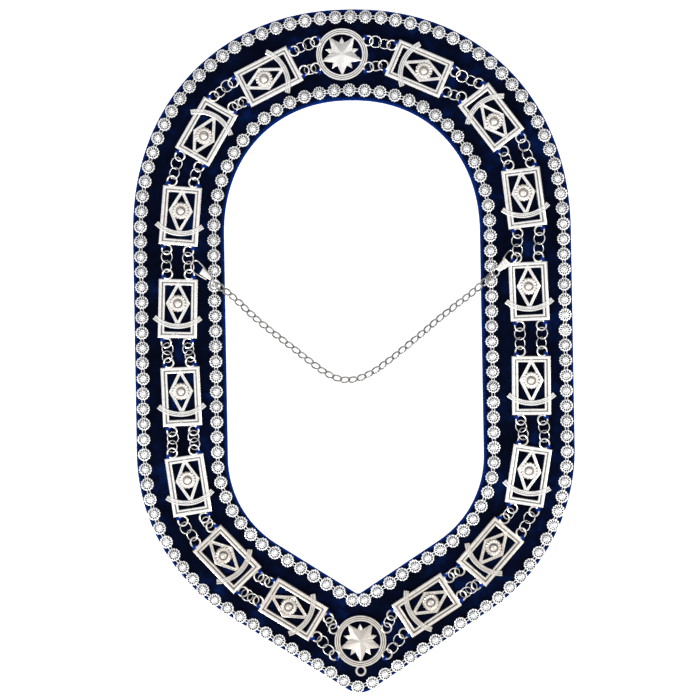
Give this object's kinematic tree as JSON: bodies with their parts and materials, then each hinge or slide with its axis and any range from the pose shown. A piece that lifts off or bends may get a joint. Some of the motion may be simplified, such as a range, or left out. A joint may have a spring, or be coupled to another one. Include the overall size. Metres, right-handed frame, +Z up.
{
  "type": "ceremonial chain collar",
  "caption": "Padded velvet collar with linked openwork cast plates, star medallions, rhinestone trims and a hooked safety chain, laid flat.",
  "frame": {"origin": "middle of the collar's footprint, on the plane that it lies on", "axes": "+Y from the pointed front towards the rounded neck end, +X to the viewer's right as seen from above, +Z up from the surface"},
  "size_m": [0.3944, 0.6146, 0.0127],
  "materials": {
    "velvet": "deep navy velvet pile",
    "cast_silver": "bright silver plate on cast metal, softly polished",
    "ring_silver": "bright silver-plated wire",
    "rhinestone": "clear cut stones in silver-plated cups",
    "chain_silver": "darker silver-plated wire"
  },
  "bodies": {
    "root": {"velvet_band": "velvet", "outer_trim": "rhinestone", "inner_trim": "rhinestone", "safety_chain": "chain_silver", "hook_left": "chain_silver", "hook_right": "chain_silver", "medallion_top": "cast_silver", "medallion_bottom": "cast_silver", "plate_left_1": "cast_silver", "plate_left_2": "cast_silver", "plate_left_3": "cast_silver", "plate_left_4": "cast_silver", "plate_left_5": "cast_silver", "plate_left_6": "cast_silver", "plate_left_7": "cast_silver", "plate_left_8": "cast_silver", "plate_right_1": "cast_silver", "plate_right_2": "cast_silver", "plate_right_3": "cast_silver", "plate_right_4": "cast_silver", "plate_right_5": "cast_silver", "plate_right_6": "cast_silver", "plate_right_7": "cast_silver", "plate_right_8": "cast_silver", "ring_row_left_0_outer": "ring_silver", "ring_row_left_0_inner": "ring_silver", "ring_row_left_1_outer": "ring_silver", "ring_row_left_1_inner": "ring_silver", "ring_row_left_2_outer": "ring_silver", "ring_row_left_2_inner": "ring_silver", "ring_row_left_3_outer": "ring_silver", "ring_row_left_3_inner": "ring_silver", "ring_row_left_4_outer": "ring_silver", "ring_row_left_4_inner": "ring_silver", "ring_row_left_5_outer": "ring_silver", "ring_row_left_5_inner": "ring_silver", "ring_row_left_6_outer": "ring_silver", "ring_row_left_6_inner": "ring_silver", "ring_row_left_7_outer": "ring_silver", "ring_row_left_7_inner": "ring_silver", "ring_row_left_8_outer": "ring_silver", "ring_row_left_8_inner": "ring_silver", "ring_row_right_0_outer": "ring_silver", "ring_row_right_0_inner": "ring_silver", "ring_row_right_1_outer": "ring_silver", "ring_row_right_1_inner": "ring_silver", "ring_row_right_2_outer": "ring_silver", "ring_row_right_2_inner": "ring_silver", "ring_row_right_3_outer": "ring_silver", "ring_row_right_3_inner": "ring_silver", "ring_row_right_4_outer": "ring_silver", "ring_row_right_4_inner": "ring_silver", "ring_row_right_5_outer": "ring_silver", "ring_row_right_5_inner": "ring_silver", "ring_row_right_6_outer": "ring_silver", "ring_row_right_6_inner": "ring_silver", "ring_row_right_7_outer": "ring_silver", "ring_row_right_7_inner": "ring_silver", "ring_row_right_8_outer": "ring_silver", "ring_row_right_8_inner": "ring_silver"}
  },
  "joints": []
}
